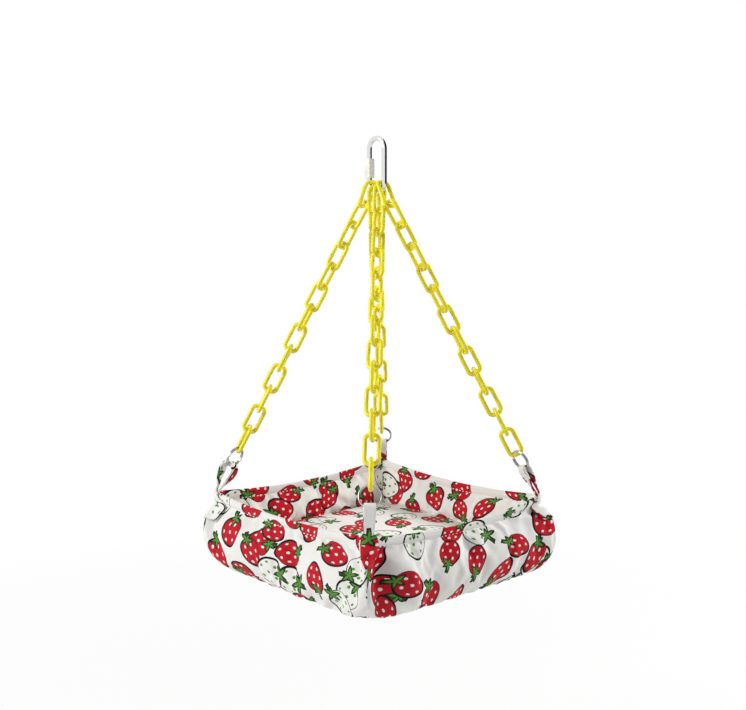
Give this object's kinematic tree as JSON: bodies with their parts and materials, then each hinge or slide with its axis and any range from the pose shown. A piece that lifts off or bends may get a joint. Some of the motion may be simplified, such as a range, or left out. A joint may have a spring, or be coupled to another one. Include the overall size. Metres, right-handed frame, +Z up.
{
  "type": "hanging bird bed",
  "caption": "Padded square fabric tray bed for a small pet bird, hung by plastic chains from one screw-gate quick link, with a split ring and a sewn strap loop at each corner.",
  "frame": {"origin": "inside top of the quick link's upper bow, where the bed hangs from a hook or a cage bar", "axes": "+Z up along the plumb line; the tray's walls lie along X and Y; the quick link lies in the XZ plane"},
  "size_m": [0.1748, 0.1748, 0.2932],
  "materials": {
    "quick_link_steel": "bright zinc plate",
    "sleeve_steel": "bright zinc plate",
    "chain_plastic": "semi-gloss moulded",
    "ring_steel": "bright nickel plate",
    "strap_cotton": "printed plain weave",
    "cover_cotton": "printed plain weave",
    "lining_cotton": "printed plain weave",
    "batting": "matt fibre fill"
  },
  "bodies": {
    "quick_link": {"quick_link_body": "quick_link_steel"},
    "screw_sleeve": {"quick_link_sleeve": "sleeve_steel"},
    "top_links": {"top_link_front": "chain_plastic", "top_link_right": "chain_plastic", "top_link_back": "chain_plastic", "top_link_left": "chain_plastic"},
    "hanging_bed": {"chain_front": "chain_plastic", "chain_right": "chain_plastic", "chain_back": "chain_plastic", "chain_left": "chain_plastic", "loop_front": "strap_cotton", "loop_right": "strap_cotton", "loop_back": "strap_cotton", "loop_left": "strap_cotton", "outer_cover": "cover_cotton", "lining": "lining_cotton", "floor_pad": "batting", "wall_pad_east": "batting", "wall_pad_north": "batting", "wall_pad_west": "batting", "wall_pad_south": "batting"},
    "split_ring_front": {"ring_front": "ring_steel"},
    "split_ring_right": {"ring_right": "ring_steel"},
    "split_ring_back": {"ring_back": "ring_steel"},
    "split_ring_left": {"ring_left": "ring_steel"}
  },
  "joints": [
    {"name": "gate_screw", "type": "slide", "parent": "quick_link", "child": "screw_sleeve", "axis": [0, 0, 1], "range_m": [0, 0.006]},
    {"name": "side_swing", "type": "hinge", "parent": "quick_link", "child": "top_links", "pos_m": [0, 0, -0.02625], "axis": [0, 1, 0], "range_deg": [-18, 18]},
    {"name": "fore_swing", "type": "hinge", "parent": "top_links", "child": "hanging_bed", "pos_m": [0, 0, -0.042], "axis": [1, 0, 0], "range_deg": [-20, 20]},
    {"name": "ring_front_turn", "type": "hinge", "parent": "hanging_bed", "child": "split_ring_front", "pos_m": [0.0694, -0.06911, -0.21564], "axis": [0.6247, -0.6184, 0.4768], "continuous": true},
    {"name": "ring_right_turn", "type": "hinge", "parent": "hanging_bed", "child": "split_ring_right", "pos_m": [0.0695, 0.06802, -0.21303], "axis": [0.1217, 0.9092, 0.3982], "continuous": true},
    {"name": "ring_back_turn", "type": "hinge", "parent": "hanging_bed", "child": "split_ring_back", "pos_m": [-0.0694, 0.06911, -0.21564], "axis": [-0.6247, 0.6184, 0.4768], "continuous": true},
    {"name": "ring_left_turn", "type": "hinge", "parent": "hanging_bed", "child": "split_ring_left", "pos_m": [-0.0695, -0.06802, -0.21303], "axis": [-0.9103, -0.1796, 0.3729], "continuous": true}
  ]
}
